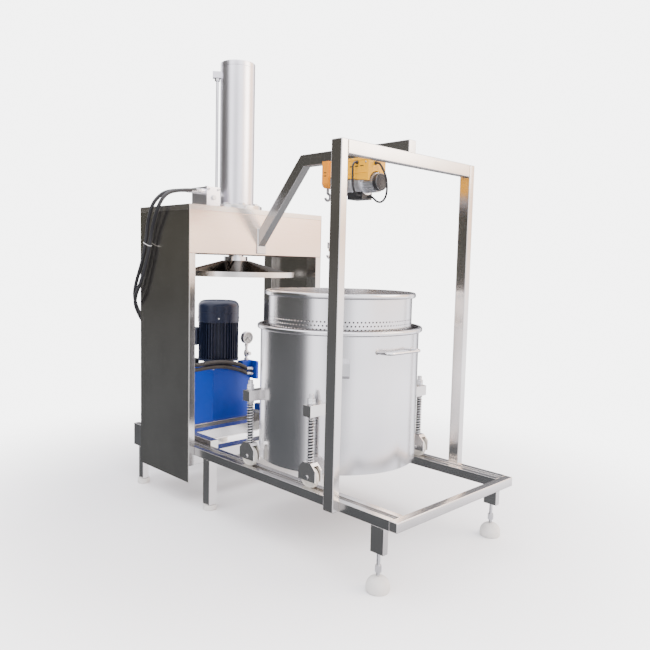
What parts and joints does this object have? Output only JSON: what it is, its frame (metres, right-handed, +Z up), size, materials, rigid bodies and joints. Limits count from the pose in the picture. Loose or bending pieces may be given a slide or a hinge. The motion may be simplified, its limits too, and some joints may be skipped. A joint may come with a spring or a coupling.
{
  "type": "hydraulic basket wine press",
  "caption": "Stainless basket press for wine: a hydraulic ram presses fruit in a sprung barrel that rolls on rails, with a gantry rope hoist and a tank-top power unit.",
  "frame": {"origin": "on the floor, in the middle of the machine's length and width", "axes": "+Z up; +Y from the loading end towards the power unit; +X to the right seen from the loading end"},
  "size_m": [1.0179, 2.408, 2.485],
  "materials": {
    "stainless": "brushed stainless steel",
    "silver_steel": "smooth turned steel",
    "hard_chrome": "ground hard chrome",
    "spring_steel": "bright drawn steel",
    "white_plastic": "moulded",
    "black_plastic": "moulded",
    "nylon": "cast nylon",
    "hose_rubber": "smooth black rubber",
    "blue_paint": "gloss paint",
    "navy_paint": "semi-gloss paint",
    "yellow_paint": "gloss paint",
    "orange_paint": "gloss paint",
    "bare_aluminium": "cast and finned",
    "cast_pump": "cast",
    "dial_white": "white dial in a steel case"
  },
  "bodies": {
    "frame": {"side_rails": "stainless", "front_crossbar": "stainless", "rail_legs": "stainless", "foot_screws": "stainless", "side_panels": "stainless", "press_columns": "stainless", "base_beams": "stainless", "bed_table": "stainless", "head_beams": "stainless", "head_plate": "stainless", "unit_platform": "stainless", "gantry_posts": "stainless", "gantry_beam": "stainless", "hoist_beam": "stainless", "cylinder_flange": "stainless", "flange_bolts": "stainless", "cylinder_pipe": "stainless", "bell_feet": "white_plastic", "leg_pads": "white_plastic", "cylinder_tube": "silver_steel", "cylinder_cap": "silver_steel", "port_block": "silver_steel", "pressure_hose": "hose_rubber", "return_hose": "hose_rubber", "oil_tank": "blue_paint", "tank_lid": "blue_paint", "valve_manifold": "blue_paint", "bell_housing": "navy_paint", "motor_body": "navy_paint", "fan_cowl": "navy_paint", "terminal_box": "navy_paint", "gear_pump": "cast_pump", "gauge_case": "dial_white", "filler_cap": "black_plastic", "hoist_gearcase": "orange_paint", "hoist_housing": "yellow_paint", "hoist_motor": "bare_aluminium", "capacitor_box": "black_plastic", "hoist_cables": "hose_rubber"},
    "ram": {"piston_rod": "hard_chrome", "press_plate": "stainless"},
    "barrel": {"outer_barrel": "stainless", "caster_brackets": "stainless", "pull_handle": "stainless"},
    "undercarriage": {"caster_forks": "stainless", "caster_axles": "stainless", "caster_springs": "spring_steel"},
    "wheel_fl": {"wheel_front_left": "nylon"},
    "wheel_fr": {"wheel_front_right": "nylon"},
    "wheel_rl": {"wheel_rear_left": "nylon"},
    "wheel_rr": {"wheel_rear_right": "nylon"},
    "basket": {"basket": "stainless"},
    "drum": {"rope_drum": "spring_steel", "rope_winding": "spring_steel"},
    "rope_end": {"hoist_rope": "spring_steel", "hook_socket": "spring_steel"},
    "hook": {"lifting_hook": "spring_steel"},
    "lever": {"limit_lever": "black_plastic"},
    "rotor": {"motor_rotor": "spring_steel"},
    "needle": {"gauge_needle": "black_plastic"}
  },
  "joints": [
    {"name": "ram_slide", "type": "slide", "parent": "frame", "child": "ram", "axis": [0, 0, -1], "range_m": [0, 0.6]},
    {"name": "cart_slide", "type": "slide", "parent": "frame", "child": "undercarriage", "axis": [0, 1, 0], "range_m": [0, 0.878]},
    {"name": "barrel_settle", "type": "slide", "parent": "undercarriage", "child": "barrel", "axis": [0, 0, -1], "range_m": [0, 0.018], "stiffness_N_per_m": 30000, "springref_m": -0.087, "deforming": ["caster_springs"]},
    {"name": "basket_lift", "type": "slide", "parent": "barrel", "child": "basket", "axis": [0, 0, -1], "range_m": [-0.4, 0]},
    {"name": "drum_turn", "type": "hinge", "parent": "frame", "child": "drum", "pos_m": [0, -0.4285, 1.74], "axis": [0, -1, 0], "range_deg": [-277, 832]},
    {"name": "hook_slide", "type": "slide", "parent": "frame", "child": "rope_end", "axis": [0, 0, -1], "range_m": [-0.2, 0.6], "deforming": ["hoist_rope"]},
    {"name": "hook_swivel", "type": "hinge", "parent": "rope_end", "child": "hook", "pos_m": [-0.0413, -0.395, 1.4], "axis": [0, 0, 1], "continuous": true},
    {"name": "lever_swing", "type": "hinge", "parent": "frame", "child": "lever", "pos_m": [0, -0.372, 1.676], "axis": [-1, 0, 0], "range_deg": [0, 12]},
    {"name": "rotor_turn", "type": "hinge", "parent": "frame", "child": "rotor", "pos_m": [0.3, 1.026, 0.8], "axis": [0, 0, 1], "continuous": true},
    {"name": "needle_turn", "type": "hinge", "parent": "frame", "child": "needle", "pos_m": [0.45, 0.89, 0.795], "axis": [0, 1, 0], "range_deg": [0, 270]},
    {"name": "wheel_fl_roll", "type": "hinge", "parent": "undercarriage", "child": "wheel_fl", "pos_m": [-0.396, -0.65763, 0.3613], "axis": [-1, 0, 0], "range_deg": [-1, 970]},
    {"name": "wheel_fr_roll", "type": "hinge", "parent": "undercarriage", "child": "wheel_fr", "pos_m": [0.396, -0.65763, 0.3613], "axis": [-1, 0, 0], "range_deg": [-1, 970]},
    {"name": "wheel_rl_roll", "type": "hinge", "parent": "undercarriage", "child": "wheel_rl", "pos_m": [-0.396, -0.22037, 0.3613], "axis": [-1, 0, 0], "range_deg": [-1, 970]},
    {"name": "wheel_rr_roll", "type": "hinge", "parent": "undercarriage", "child": "wheel_rr", "pos_m": [0.396, -0.22037, 0.3613], "axis": [-1, 0, 0], "range_deg": [-1, 970]}
  ],
  "couplings": [
    {"joint": "hook_slide", "follows": "drum_turn", "m_per_rad": 0.0413},
    {"joint": "wheel_fl_roll", "follows": "cart_slide", "rad_per_m": 19.231},
    {"joint": "wheel_fr_roll", "follows": "cart_slide", "rad_per_m": 19.231},
    {"joint": "wheel_rl_roll", "follows": "cart_slide", "rad_per_m": 19.231},
    {"joint": "wheel_rr_roll", "follows": "cart_slide", "rad_per_m": 19.231}
  ]
}
